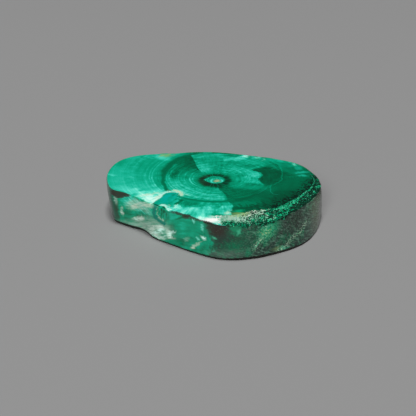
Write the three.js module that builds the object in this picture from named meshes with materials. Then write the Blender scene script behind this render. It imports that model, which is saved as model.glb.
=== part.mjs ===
// A polished slice of a malachite stalactite: one stone slab, sawn flat below and polished flat on top.
// The big lobe grew in rings round an eye, and a smaller lobe is grown on to its left side. The two meet
// at a shallow waist, front and back. Along the front right the polish ends at a shelf of pitted, crusted
// growth, and the wall below it holds small cavities.
//
// Millimetres, +Z up. The slab lies on its sawn face, with the origin under the middle of its box.
import * as THREE from "three";
import { ImprovedNoise } from "three/addons/math/ImprovedNoise.js";

// Driving dimensions
const THICKNESS = 9.8; // sawn face to polished face
const EDGE_ROUND = 0.45; // rounding where the polished face meets the wall
const FOOT_ROUND = 0.4; // rounding where the wall meets the sawn face
const WALL_BELLY = 0.25; // how far the wall swells at half its height
const SHELF_DROP = 0.55; // how far the crusted shelf falls away at its outer edge
const CRUST_DEPTH = 1.1; // deepest pits between the lumps of the shelf
const CRUST_GRAIN = 1.15; // size of those lumps
const WALL_ROUGHNESS = 0.3; // relief of the wall below the shelf
const FINE_STEP = 0.45; // spacing of the mesh along the crusted edge
const PLAIN_STEP = 1.35; // spacing of the mesh along the polished edge
const WALL_ROWS = 9;
const SHELF_ROWS = 7;

// The polished face's edge, anticlockwise from the right-hand tip, measured from the eye of the rings.
// Each row: x, y, how far the foot of the wall stands outside the edge, the width of the crusted shelf
// inside the edge, and how crusted that shelf and the wall below it are, from 0 to 1.
const EDGE = [
  [29.1, -1.4, 0.3, 2.4, 0.8],
  [28.5, 2.2, 0.4, 1.8, 0.4],
  [27.1, 6.0, 0.4, 1.5, 0.1],
  [25.0, 10.3, 0.3, 1.5, 0.1],
  [22.4, 13.0, 0.3, 1.5, 0.1],
  [18.0, 15.4, 0.3, 1.5, 0.15],
  [13.3, 17.2, 0.2, 1.5, 0.2],
  [8.2, 18.9, 0.2, 1.5, 0.1],
  [2.6, 20.4, 0.1, 1.5, 0],
  [-2.4, 21.0, 0, 1.5, 0],
  [-7.8, 20.6, 0, 1.5, 0],
  [-11.2, 19.8, -0.2, 1.5, 0.1],
  [-13.8, 19.1, -0.5, 1.5, 0.25],
  [-17.4, 19.2, -0.6, 1.5, 0.1],
  [-21.5, 18.3, -0.7, 1.5, 0],
  [-24.8, 16.6, -0.9, 1.5, 0],
  [-27.4, 13.8, -1.1, 1.5, 0],
  [-29.0, 9.8, -1.2, 1.5, 0],
  [-29.8, 4.6, -1.2, 1.5, 0],
  [-29.6, 0.1, -1.2, 1.5, 0],
  [-28.8, -3.8, -0.9, 1.5, 0],
  [-27.6, -6.3, -0.7, 1.5, 0],
  [-25.2, -7.6, -0.1, 1.5, 0],
  [-22.5, -9.7, -0.2, 1.5, 0],
  [-19.9, -12.0, -0.9, 1.5, 0.05],
  [-18.0, -14.1, -0.6, 1.5, 0.1],
  [-16.4, -15.6, 0.1, 1.5, 0.15],
  [-14.6, -17.4, 0, 1.5, 0.2],
  [-11.6, -19.7, 0, 1.5, 0.15],
  [-8.0, -22.2, 0.3, 1.5, 0.05],
  [-4.4, -24.9, 0.1, 2.0, 0.1],
  [-1.4, -26.8, 0.1, 3.4, 0.05],
  [1.6, -27.9, 0.2, 4.6, 0.1],
  [5.2, -28.1, 0.3, 5.2, 0.5],
  [8.8, -27.5, 0.3, 5.4, 0.9],
  [12.6, -26.2, 0.3, 5.0, 1],
  [15.9, -24.4, 0.3, 4.9, 1],
  [18.8, -21.9, 1.0, 4.9, 1],
  [21.4, -19.0, 1.5, 4.6, 1],
  [23.9, -15.8, 1.4, 4.4, 1],
  [25.9, -12.4, 1.0, 4.0, 1],
  [27.5, -8.8, 0.6, 3.4, 1],
  [28.6, -4.9, 0.3, 2.8, 1],
];

// Small cavities in the wall: [x, y, height above the sawn face, radius], measured from the eye.
const CAVITIES = [
  [-11.5, -19.6, 3.2, 1.5],
  [-8.6, -21.8, 2.2, 1.1],
  [1.9, -27.6, 4.6, 0.9],
  [-0.4, -27.0, 2.6, 0.9],
  [11.7, -26.5, 3.0, 0.9],
  [12.9, -26.1, 4.6, 0.8],
  [18.6, -22.6, 1.4, 0.9],
  [20.6, -20.6, 2.6, 0.8],
  [22.6, -18.0, 4.2, 0.9],
  [24.4, -15.4, 5.6, 0.8],
  [25.8, -12.6, 6.9, 0.8],
  [16.0, 16.2, 5.2, 1.3],
  [-13.8, 19.0, 4.4, 1.6],
];
const CAVITY_DEPTH = 0.55; // share of a cavity's radius that it goes in

const noise = new ImprovedNoise();
const lerp = THREE.MathUtils.lerp;
const smoothstep = THREE.MathUtils.smoothstep;

// Rounded lumps with sharp pits between them, from 0 at a crest to 1 in a pit.
function crustRelief(x, y, z) {
  const lumps = Math.abs(noise.noise(x / CRUST_GRAIN, y / CRUST_GRAIN, z / CRUST_GRAIN));
  const hollows = 0.5 + 0.5 * noise.noise(x / 3 + 7, y / 3, z / 3);
  return smoothstep(0.6 - 1.5 * lumps + 0.5 * hollows, 0, 1);
}

// How far a point of the wall is pushed in by the small cavities.
function cavityDepth(x, y, z) {
  return Math.max(
    ...CAVITIES.map(([cx, cy, cz, radius]) => {
      const reach = Math.hypot(x - cx, y - cy, z - cz) / radius;
      return reach < 1 ? CAVITY_DEPTH * radius * (1 - reach * reach) : 0;
    }),
  );
}

const edgeCurve = new THREE.CatmullRomCurve3(
  EDGE.map(([x, y, flare]) => new THREE.Vector3(x, y, flare)),
  true,
  "centripetal",
);

// The columns of the mesh: where each stands on the edge, which way the wall faces there, and its shelf.
function edgeColumns() {
  const columns = [];
  EDGE.forEach(([x, y, , , crust], index) => {
    const next = EDGE[(index + 1) % EDGE.length];
    const length = Math.hypot(next[0] - x, next[1] - y);
    const step = Math.max(crust, next[4]) > 0.3 ? FINE_STEP : PLAIN_STEP;
    const count = Math.max(1, Math.round(length / step));
    for (let k = 0; k < count; k++) {
      const t = (index + k / count) / EDGE.length;
      const at = edgeCurve.getPoint(t);
      const tangent = edgeCurve.getTangent(t);
      const across = new THREE.Vector2(tangent.y, -tangent.x).normalize();
      const share = k / count;
      columns.push({
        x: at.x,
        y: at.y,
        outX: across.x,
        outY: across.y,
        flare: at.z,
        shelf: Math.max(1, lerp(EDGE[index][3], next[3], share)),
        crust: lerp(EDGE[index][4], next[4], share),
      });
    }
  });
  return columns;
}

// One column's points, from the rim of the sawn face up the wall and over the edge to the plain polish.
function columnPoints(column) {
  const { x, y, outX, outY, flare, shelf, crust } = column;
  const points = [];
  const place = (outset, z) => points.push(new THREE.Vector3(x + outX * outset, y + outY * outset, z));

  place(flare - FOOT_ROUND, 0);
  place(flare - FOOT_ROUND * 0.3, FOOT_ROUND * 0.3);
  const wallTop = THICKNESS - EDGE_ROUND - SHELF_DROP * crust;
  for (let row = 0; row <= WALL_ROWS; row++) {
    const share = row / WALL_ROWS;
    const z = lerp(FOOT_ROUND, wallTop, share);
    const lean = lerp(flare, 0, share) + WALL_BELLY * Math.sin(Math.PI * share);
    const px = x + outX * lean;
    const py = y + outY * lean;
    const fade = smoothstep(share, 0, 0.15) * crust;
    const pushed = WALL_ROUGHNESS * crustRelief(px, py, z) * fade + cavityDepth(px, py, z);
    place(lean - pushed, z);
  }
  place(-EDGE_ROUND * 0.3, wallTop + EDGE_ROUND * 0.7);
  for (let row = 0; row <= SHELF_ROWS; row++) {
    const share = row / SHELF_ROWS;
    const inset = lerp(EDGE_ROUND, shelf, share);
    const px = x - outX * inset;
    const py = y - outY * inset;
    const fall = 1 - smoothstep(share, 0, 1);
    const pits = CRUST_DEPTH * crustRelief(px, py, 0) * (1 - smoothstep(share, 0.6, 1)) * crust;
    place(-inset, THICKNESS - SHELF_DROP * crust * fall - pits);
  }
  return points;
}

// Closes the slab: strips between neighbouring columns, and a flat cap on the first and last rows.
function slabGeometry() {
  const columns = edgeColumns().map(columnPoints);
  const rows = columns[0].length;
  const count = columns.length;
  const positions = columns.flat().flatMap((p) => [p.x, p.y, p.z]);
  const index = (column, row) => (column % count) * rows + row;
  const faces = [];
  for (let c = 0; c < count; c++) {
    for (let r = 0; r < rows - 1; r++) {
      faces.push(index(c, r), index(c + 1, r), index(c + 1, r + 1));
      faces.push(index(c, r), index(c + 1, r + 1), index(c, r + 1));
    }
  }
  for (const row of [0, rows - 1]) {
    const loop = columns.map((points) => new THREE.Vector2(points[row].x, points[row].y));
    for (const [a, b, c] of THREE.ShapeUtils.triangulateShape(loop, [])) {
      const corners = [index(a, row), index(b, row), index(c, row)];
      faces.push(...(row === 0 ? corners.reverse() : corners));
    }
  }
  const geometry = new THREE.BufferGeometry();
  geometry.setAttribute("position", new THREE.Float32BufferAttribute(positions, 3));
  geometry.setIndex(faces);
  geometry.computeBoundingBox();
  const middle = geometry.boundingBox.getCenter(new THREE.Vector3());
  geometry.translate(-middle.x, -middle.y, 0);
  geometry.computeVertexNormals();
  return geometry;
}

const polishedMalachite = new THREE.MeshStandardMaterial({
  color: 0x109a70,
  roughness: 0.16,
  metalness: 0,
});

const slice = new THREE.Mesh(slabGeometry(), polishedMalachite);
slice.name = "malachite_slice";

const part = new THREE.Group();
part.add(slice);

export default part;
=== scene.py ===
"""A polished slice of a malachite stalactite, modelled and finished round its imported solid.

The stone lies on its sawn face. Its polished face shows growth rings round an eye and a smaller lobe on the
left; along the front right the polish ends at a shelf of pitted, crystalline growth. Sizes in the geometry
are millimetres from the eye of the rings, and every mesh is made in metres, in the frame of the solid.
"""

import functools
import math

import bmesh
import bpy
import numpy as np
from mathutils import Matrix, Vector, noise


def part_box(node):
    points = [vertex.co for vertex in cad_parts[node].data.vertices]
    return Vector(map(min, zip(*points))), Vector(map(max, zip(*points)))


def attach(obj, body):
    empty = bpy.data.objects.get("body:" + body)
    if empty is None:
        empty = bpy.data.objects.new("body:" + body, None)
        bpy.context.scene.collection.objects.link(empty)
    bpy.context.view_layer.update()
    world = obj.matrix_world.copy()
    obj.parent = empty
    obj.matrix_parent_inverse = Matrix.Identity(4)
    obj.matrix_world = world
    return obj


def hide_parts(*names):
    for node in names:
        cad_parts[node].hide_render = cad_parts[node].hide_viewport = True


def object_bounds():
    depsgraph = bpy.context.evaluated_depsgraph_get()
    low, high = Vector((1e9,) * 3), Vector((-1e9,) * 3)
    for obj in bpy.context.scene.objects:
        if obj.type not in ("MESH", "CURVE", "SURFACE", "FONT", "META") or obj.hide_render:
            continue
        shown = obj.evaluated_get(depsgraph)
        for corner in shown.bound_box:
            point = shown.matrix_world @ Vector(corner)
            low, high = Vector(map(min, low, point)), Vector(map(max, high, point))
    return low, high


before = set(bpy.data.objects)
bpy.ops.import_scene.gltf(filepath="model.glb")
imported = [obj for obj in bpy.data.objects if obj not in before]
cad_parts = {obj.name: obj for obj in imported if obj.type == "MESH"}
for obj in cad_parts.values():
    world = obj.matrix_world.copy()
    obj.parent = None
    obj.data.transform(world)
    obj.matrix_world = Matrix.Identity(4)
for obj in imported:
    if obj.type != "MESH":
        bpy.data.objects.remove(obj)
CAD_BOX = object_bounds()

bl_info = {
    "name": "Malachite Stalactite Slice",
    "version": (1, 0, 0),
    "blender": (4, 5, 0),
    "location": "View3D > Sidebar > Malachite",
    "description": "Models a polished slice of a malachite stalactite with its crusted shelf",
    "category": "Add Mesh",
}

MM = 0.001
TURN = 2 * math.pi
NODE = "malachite_slice"
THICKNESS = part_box(NODE)[1].z / MM

# The eye of the rings, in the frame of the solid
EYE_X = 0.165
EYE_Y = 3.625

# The wall is read from the solid at these heights, all below its crust, and the mesh's seam is at the back
WALL_HEIGHTS = (0.7, 1.8, 3.0, 4.2, 5.4, 6.6, 7.6)
WALL_START = math.radians(90)
OUTLINE_STEPS = 3600
OUTLINE_SMOOTHING = 0.9
MERGE_DISTANCE = 0.002 * MM

# The finishes, in the order of the mesh's material slots
FINISHES = ("polished_face", "ground_wall", "sawn_underside", "crystal_crust")
# The mesh's rows, from the sawn face up the wall and over the edge on to the polished face: how many rows
# each stretch has, and its finish
STRETCHES = {
    "underside": (3, "sawn_underside"),
    "foot": (3, "sawn_underside"),
    "wall": (36, "ground_wall"),
    "edge": (3, "ground_wall"),
    "face": (34, "polished_face"),
}
# How far the wrap reaches in under the stone and in over its polish, and the rounding of its foot
UNDERSIDE_BAND = 2.0
FACE_BAND = 8.4
FOOT_ROUND = 0.15
# The wrap's UV map counts in steps of this many millimetres
WRAP_SCALE = 200.0
# The marks that each point of the mesh carries for the finishes. The shelf mark is 1 at the shelf's inner
# side, 0 at its edge, and falls on down the wall by 1 for each 3 mm. The relief is how deep a point lies
# between lumps, the crust how crusted it is, and past_shelf its millimetres in from the shelf's inner side.
MARKS = ("shelf", "relief", "crust", "past_shelf")
SHELF_MARK = 3.0

# The shelf, by direction from the eye: degrees, width, how far its outer edge falls, how crusted it is
SHELF = (
    (-106, 1.5, 0.0, 0.0),
    (-98, 3.0, 0.10, 0.0),
    (-92, 5.0, 0.15, 0.03),
    (-86, 5.4, 0.20, 0.12),
    (-79, 5.8, 0.20, 0.4),
    (-71, 6.3, 0.20, 0.8),
    (-64, 7.2, 0.20, 1.0),
    (-57, 6.4, 0.20, 1.0),
    (-49, 5.1, 0.20, 1.0),
    (-33, 4.7, 0.20, 1.0),
    (-21, 4.2, 0.20, 1.0),
    (-8, 2.8, 0.20, 0.9),
    (-2, 2.1, 0.15, 0.8),
    (4, 1.6, 0.10, 0.5),
    (9, 1.4, 0.0, 0.0),
)
# The part of the shelf that has a raised rim along the polish, as distance along the wall
RIM_START = 102.0
RIM_FULL = 109.0
# Across the shelf, in shares of its width: where the pits fade out, and where the rim and the groove
# behind it begin and end
PITS_FADE = (0.55, 0.85)
RIM_BEGINS = (0.70, 0.84)
RIM_ENDS = (0.94, 1.02)
GROOVE_BEGINS = (0.98, 1.06)
GROOVE_ENDS = (1.10, 1.18)

# Small cavities in the wall: distance along the wall from the back, height, radius
CAVITIES = (
    (71.2, 3.2, 1.4), (75.2, 2.2, 1.0), (85.0, 2.6, 0.8), (97.6, 3.0, 0.8), (98.8, 4.6, 0.7),
    (105.6, 1.4, 0.8), (108.6, 2.6, 0.7), (111.9, 4.2, 0.8), (115.2, 5.6, 0.7), (118.6, 6.9, 0.7),
    (155.0, 5.2, 1.2), (14.2, 4.4, 1.5),
)
CAVITY_DEPTH = 0.35
# The wall's slow waves, and its lumps, which begin between two heights below the crust
WAVE_LENGTH = 3.1
WALL_LUMP = 0.7
WALL_LUMP_DEPTH = 0.28
WALL_LUMPS_BEGIN = (6.5, 9.0)
# Broad hollows in the crust
HOLLOW_SIZE = 2.6


def display(red, green, blue):
    """A colour as a screen shows it, from 0 to 255, as the linear colour that shaders use."""
    parts = [c / 255 for c in (red, green, blue)]
    return tuple(c / 12.92 if c <= 0.04045 else ((c + 0.055) / 1.055) ** 2.4 for c in parts)


def colour_property(name, description, red, green, blue):
    """A colour that the sidebar shows."""
    colour = display(red, green, blue)
    return bpy.props.FloatVectorProperty(
        name=name, description=description, subtype="COLOR", size=3, min=0, max=1, default=colour
    )


def length_property(name, description, millimetres, least=0):
    """A length that the sidebar shows."""
    return bpy.props.FloatProperty(
        name=name, description=description, default=millimetres * MM, min=least * MM, unit="LENGTH"
    )


class StoneSizes(bpy.types.PropertyGroup):
    """Sizes of the stone's finer shapes."""

    column_step: length_property("Column spacing", "Spacing of the mesh along the wall", 0.25, 0.1)
    edge_round: length_property("Edge rounding", "Rounding where the polished face meets the wall", 0.2)
    rim_height: length_property("Rim height", "Rise of the rim at the shelf's inner side", 0.25)
    crust_depth: length_property("Crust depth", "Deepest pits between the lumps of the crust", 0.9)
    crust_grain: length_property("Crust grain", "Size of the lumps of the crust", 0.95)
    wall_wave: length_property("Wall unevenness", "Height of the slow waves left in the ground wall", 0.07)


class StoneColours(bpy.types.PropertyGroup):
    """Colours of the stone's bands and crusts."""

    black_green: colour_property("Black green", "Darkest bands and pits", 12, 32, 25)
    deep_green: colour_property("Deep green", "Dark sectors of the polished face", 4, 82, 54)
    # This colour is painted shade: the contact shadow along the foot and a dark band just under the front
    # edge
    black_brown: colour_property("Black brown", "Grime along the foot of the wall", 16, 10, 6)
    green: colour_property("Green", "Middle green of the bands", 0, 110, 75)
    sea_green: colour_property("Sea green", "Plain bands", 3, 158, 120)
    teal: colour_property("Teal", "Bright fibrous bands", 24, 182, 150)
    aqua: colour_property("Aqua", "Brightest fibres", 70, 212, 187)
    mint: colour_property("Mint", "Pale bands", 120, 234, 208)
    milk: colour_property("Milk", "Palest zones along the front edge", 206, 255, 240)
    # This colour is a painted highlight: the white glare of a light in the sloping facet at the front edge
    quartz: colour_property("Quartz", "The glossy facet at the front edge", 252, 250, 246)
    blue_teal: colour_property("Blue teal", "Inside of the fold between the lobes", 0, 168, 152)
    tan: colour_property("Tan", "Core of the eye and earthy specks", 186, 178, 130)
    rust: colour_property("Rust", "Cream and rusty stain beside the fold", 222, 206, 170)
    umber: colour_property("Umber", "Brown patches of the wall", 50, 40, 36)
    slate: colour_property("Slate", "Grey green of the wall's right half", 38, 62, 53)
    chalk: colour_property("Chalk", "Whitish growth on the wall", 206, 232, 216)
    sand: colour_property("Sand", "Beige streaks of the wall", 206, 224, 202)
    straw: colour_property("Straw", "Yellowish specks", 150, 180, 96)
    emerald: colour_property("Emerald", "Deep green crystals of the crust", 6, 156, 108)
    crystal: colour_property("Crystal", "Lightest green crystals of the crust", 78, 202, 158)
    ash: colour_property("Ash", "Greyish grains of the crust", 132, 172, 152)


class StudioSettings(bpy.types.PropertyGroup):
    """The floor and the camera."""

    camera_distance: length_property("Camera distance", "From the camera to the point that it looks at", 300)
    camera_elevation: bpy.props.FloatProperty(
        name="Camera elevation",
        description="Height of the camera above the stone, as an angle",
        default=math.radians(25),
        unit="ROTATION",
    )
    camera_lens: bpy.props.FloatProperty(
        name="Lens", description="Focal length on a 36 mm sensor", default=92.7, unit="CAMERA"
    )
    floor_colour: colour_property("Floor", "Plain floor under the stone", 136, 136, 136)


class Outline:
    """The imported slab's wall, read from the solid: distance from the eye's axis by column and height."""

    def __init__(self, step):
        sections = [self.section(height) for height in WALL_HEIGHTS]
        # The columns stand at equal distances along the wall's middle height
        fine = np.linspace(WALL_START, WALL_START + TURN, OUTLINE_STEPS + 1)
        angles, radii = sections[len(sections) // 2]
        radius = np.interp(fine % TURN, angles, radii, period=TURN)
        x, y = radius * np.cos(fine), radius * np.sin(fine)
        along = np.concatenate([[0], np.cumsum(np.hypot(np.diff(x), np.diff(y)))])
        self.length = along[-1]
        self.count = round(self.length / step)
        self.along = np.arange(self.count) * self.length / self.count
        self.angles = np.interp(self.along, along, fine)
        # Up each column, the distance from the eye's axis is a quadratic curve
        levels = [self.smooth(np.interp(self.angles % TURN, a, r, period=TURN)) for a, r in sections]
        self.curve = np.polyfit(WALL_HEIGHTS, np.array(levels), 2)
        # The shelf's shape at each column
        degrees = (np.degrees(self.angles) + 180) % 360 - 180
        stops, widths, drops, crusts = zip(*SHELF)
        self.shelf = np.interp(degrees, stops, widths)
        self.drop = np.interp(degrees, stops, drops)
        self.crust = np.interp(degrees, stops, crusts)
        self.rim = np.clip((self.along - RIM_START) / (RIM_FULL - RIM_START), 0, 1) * self.crust

    def section(self, height):
        """Angle and distance from the eye of the slab's wall at a height, in order of angle."""
        bm = bmesh.new()
        bm.from_mesh(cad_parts[NODE].data)
        bmesh.ops.remove_doubles(bm, verts=bm.verts, dist=MERGE_DISTANCE)
        bmesh.ops.bisect_plane(
            bm,
            geom=bm.verts[:] + bm.edges[:] + bm.faces[:],
            plane_co=(0, 0, height * MM),
            plane_no=(0, 0, 1),
            clear_inner=True,
            clear_outer=True,
        )
        x = np.array([v.co.x for v in bm.verts]) / MM - EYE_X
        y = np.array([v.co.y for v in bm.verts]) / MM - EYE_Y
        bm.free()
        angles = np.arctan2(y, x) % TURN
        order = np.argsort(angles)
        return angles[order], np.hypot(x, y)[order]

    def smooth(self, radii):
        """Takes the solid's coarse relief off a closed outline."""
        reach = round(3 * OUTLINE_SMOOTHING / (self.length / self.count))
        offsets = np.arange(-reach, reach + 1) * self.length / self.count
        weights = np.exp(-0.5 * (offsets / OUTLINE_SMOOTHING) ** 2)
        weights /= weights.sum()
        padded = np.concatenate([radii[-reach:], radii, radii[:reach]])
        return np.convolve(padded, weights, mode="valid")


def crust_relief(x, y, z, grain):
    """Rounded lumps with sharp pits between them: 0 on a lump, 1 at the bottom of a pit."""
    # Between two lumps the nearest and the second nearest middles are equally far
    near, far = noise.voronoi(Vector((x, y, z)) / grain)[0][:2]
    lumps = 1 - min(1, (far - near) * 1.6)
    hollows = 0.5 + 0.5 * noise.noise(Vector((x / HOLLOW_SIZE + 7, y / HOLLOW_SIZE, z / HOLLOW_SIZE)))
    return min(1, 0.75 * lumps * lumps + 0.75 * max(0, hollows - 0.35))


def cavity_depth(along, height):
    """How far the small cavities push a point of the wall in."""
    depth = 0
    for place, level, radius in CAVITIES:
        reach = math.hypot(along - place, height - level) / radius
        depth = max(depth, CAVITY_DEPTH * radius * (1 - reach * reach))
    return depth


def smoothstep(value, low, high):
    """0 below low, 1 above high, and smooth between."""
    share = min(1, max(0, (value - low) / (high - low)))
    return share * share * (3 - 2 * share)


class SlabShape:
    """Where each point of the wrapped sheet goes."""

    def __init__(self, sizes):
        self.outline = Outline(sizes.column_step / MM)
        self.edge_round = sizes.edge_round / MM
        self.rim_height = sizes.rim_height / MM
        self.crust_depth = sizes.crust_depth / MM
        self.crust_grain = sizes.crust_grain / MM
        self.wall_wave = sizes.wall_wave / MM
        self.rows = [(name, k / count) for name, (count, _) in STRETCHES.items() for k in range(count)]
        self.rows.append(("face", 1.0))
        self.wall_top = THICKNESS - self.edge_round - self.outline.drop

    def base(self, stretch, share):
        """A row before any relief: how far inside the wall it lies, its height, its distance up the wrap."""
        quarter = share * TURN / 4
        zero = np.zeros(self.outline.count)
        if stretch == "underside":
            inset = UNDERSIDE_BAND + (FOOT_ROUND - UNDERSIDE_BAND) * share
            return zero + inset, zero, zero - inset
        if stretch == "foot":
            inset = FOOT_ROUND * (1 - math.sin(quarter))
            height = FOOT_ROUND * (1 - math.cos(quarter))
            return zero + inset, zero + height, zero + height
        if stretch == "wall":
            height = FOOT_ROUND + (self.wall_top - FOOT_ROUND) * share
            return zero, height, height
        if stretch == "edge":
            inset = self.edge_round * (1 - math.cos(quarter))
            height = self.wall_top + self.edge_round * math.sin(quarter)
            return zero + inset, height, self.wall_top + self.edge_round * share
        inset = self.edge_round + (FACE_BAND - self.edge_round) * share
        fall = np.clip(1 - (inset - self.edge_round) / (self.outline.shelf - self.edge_round), 0, 1)
        fall = fall * fall * (3 - 2 * fall)
        height = THICKNESS - self.outline.drop * fall
        return zero + inset, height, zero + THICKNESS + inset

    def row_points(self, stretch, share):
        """A row of the finished surface: its points, their distances up the wrap, and their marks."""
        insets, heights, wraps = self.base(stretch, share)
        outline = self.outline
        points = []
        marks = []
        for k in range(outline.count):
            angle, crust, shelf = outline.angles[k], outline.crust[k], outline.shelf[k]
            height, inset = heights[k], insets[k]
            radius = np.polyval(outline.curve[:, k], height) - inset
            x, y = radius * math.cos(angle), radius * math.sin(angle)
            place = inset / shelf
            relief = 0.0
            if stretch == "wall":
                place = (height - self.wall_top[k]) / SHELF_MARK
                lumps = crust_relief(x, y, height, WALL_LUMP)
                relief = lumps * smoothstep(height, *WALL_LUMPS_BEGIN) * crust
                wave = self.wall_wave * noise.noise(Vector((x, y, height)) / WAVE_LENGTH)
                sunk = WALL_LUMP_DEPTH * relief
                fade = smoothstep(share, 0, 0.12)
                radius += (wave - sunk - cavity_depth(outline.along[k], height)) * fade
            elif stretch in ("edge", "face") and crust > 0:
                relief = crust * crust_relief(x, y, 0, self.crust_grain)
            if stretch == "face" and crust > 0:
                ragged = place + 0.06 * noise.noise(Vector((x, y, 3)) / 0.9)
                rim = smoothstep(ragged, *RIM_BEGINS) * (1 - smoothstep(ragged, *RIM_ENDS))
                groove = smoothstep(ragged, *GROOVE_BEGINS) * (1 - smoothstep(ragged, *GROOVE_ENDS))
                height -= self.crust_depth * relief * (1 - smoothstep(place, *PITS_FADE))
                height += (rim - groove) * self.rim_height * outline.rim[k]
            points.append((radius * math.cos(angle), radius * math.sin(angle), height))
            marks.append((place, relief, crust, inset - shelf))
        return points, wraps, marks


def is_crusted(shelf, crust, place):
    """Whether a face of the mesh lies in the crust, whose outline is ragged."""
    fine = noise.noise(place / 0.8)
    coarse = noise.noise(place / 2.2)
    inner = shelf + 0.07 * fine < 1.03
    # Its outer side hangs a little way down the wall, but hardly at the right end
    reach = crust * (1 - 0.8 * smoothstep(place.x, 16, 21))
    outer = shelf + (0.45 * coarse + 0.2 * fine) * reach > 0.08 - 0.22 * reach
    return inner and outer and crust + 0.06 * fine > 0.09


def wrap_sheet(shape):
    """A flat grid wrapped round the slab, its seam joined, with its two open ends still to be closed."""
    columns = shape.outline.count
    rows = len(shape.rows) - 1
    bm = bmesh.new()
    uv = bm.loops.layers.uv.new("wrap")
    layers = [bm.verts.layers.float.new(name) for name in MARKS]
    bmesh.ops.create_grid(bm, x_segments=columns, y_segments=rows, size=1, calc_uvs=True)
    placed = [shape.row_points(*row) for row in shape.rows]
    for vert in bm.verts:
        column = round((vert.co.x + 1) / 2 * columns) % columns
        points, _, marks = placed[round((vert.co.y + 1) / 2 * rows)]
        x, y, z = points[column]
        place = ((x + EYE_X) * MM, (y + EYE_Y) * MM, z * MM)
        # Nothing stands out of the solid's box
        vert.co = [min(max(value, low), high) for value, low, high in zip(place, *CAD_BOX)]
        for layer, mark in zip(layers, marks[column]):
            vert[layer] = mark
    finish_of = [FINISHES.index(STRETCHES[name][1]) for name, _ in shape.rows]
    for face in bm.faces:
        middle = sum(loop[uv].uv.y for loop in face.loops) / 4 * rows
        shelf, _, crust, _ = (sum(vert[layer] for vert in face.verts) / 4 for layer in layers)
        face.material_index = finish_of[int(middle)]
        if is_crusted(shelf, crust, face.calc_center_median() / MM):
            face.material_index = FINISHES.index("crystal_crust")
        for loop in face.loops:
            share, level = loop[uv].uv
            wrap = placed[round(level * rows)][1][round(share * columns) % columns]
            loop[uv].uv = (share * shape.outline.length / WRAP_SCALE, wrap / WRAP_SCALE)
    bmesh.ops.remove_doubles(bm, verts=bm.verts, dist=MERGE_DISTANCE)
    return bm


def close_ends(bm):
    """Closes the sheet with the flat sawn face below and the flat polish above."""
    open_edges = [edge for edge in bm.edges if edge.is_boundary]
    for above, finish in ((False, "sawn_underside"), (True, "polished_face")):
        loop = [edge for edge in open_edges if (edge.verts[0].co.z > THICKNESS * MM / 2) == above]
        made = bmesh.ops.contextual_create(bm, geom=loop)["faces"]
        made[0].material_index = FINISHES.index(finish)
    bmesh.ops.recalc_face_normals(bm, faces=bm.faces)


def finish_object(name, bm, materials):
    """Makes a mesh object of a bmesh and puts it in the scene."""
    mesh = bpy.data.meshes.new(name)
    bm.to_mesh(mesh)
    bm.free()
    piece = bpy.data.objects.new(name, mesh)
    for material in materials:
        mesh.materials.append(material)
    bpy.context.scene.collection.objects.link(piece)
    return piece


class Value:
    """A number that varies over a surface. Python's operators on it add Math nodes."""

    def __init__(self, finish, socket):
        self.finish = finish
        self.socket = socket

    def __add__(self, other):
        return self.finish.maths("ADD", self, other)

    def __sub__(self, other):
        return self.finish.maths("SUBTRACT", self, other)

    def __rsub__(self, other):
        return self.finish.maths("SUBTRACT", other, self)

    def __mul__(self, other):
        return self.finish.maths("MULTIPLY", self, other)

    def __truediv__(self, other):
        return self.finish.maths("DIVIDE", self, other)

    def __rtruediv__(self, other):
        return self.finish.maths("DIVIDE", other, self)

    def __abs__(self):
        return self.finish.maths("ABSOLUTE", self)

    # Sums and products are the same either way round
    __radd__ = __add__
    __rmul__ = __mul__


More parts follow.
